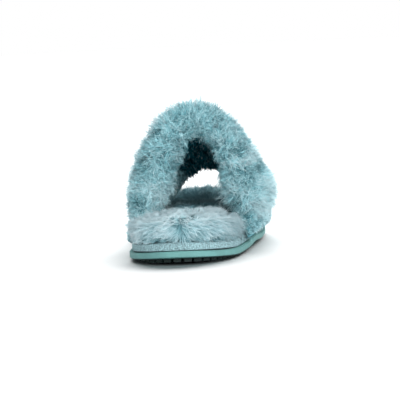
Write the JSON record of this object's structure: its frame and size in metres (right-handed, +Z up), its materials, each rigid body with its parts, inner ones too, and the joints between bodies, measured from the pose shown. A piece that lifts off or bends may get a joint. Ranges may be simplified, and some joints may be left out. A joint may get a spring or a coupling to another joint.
{
  "type": "slide slipper",
  "caption": "Plush open-toe slide slipper with crossed faux-fur straps over a deep fur footbed, on a cloth-wrapped platform and a thin foam outsole with a lugged tread.",
  "frame": {"origin": "on the floor, under the middle of the slipper's box", "axes": "+Z up, +Y from heel to toe, +X to the wearer's right, the little-toe side"},
  "size_m": [0.1042, 0.254, 0.1008],
  "materials": {
    "sole_foam": "matte teal moulded foam",
    "wrap_cloth": "matte grey-blue woven wrap",
    "footbed_fur": "long soft pale blue faux-fur pile",
    "strap_fur": "long soft dusty teal faux-fur pile"
  },
  "bodies": {
    "root": {"outsole": "sole_foam", "midsole": "wrap_cloth", "insole": "footbed_fur", "upper": "strap_fur"}
  },
  "joints": []
}
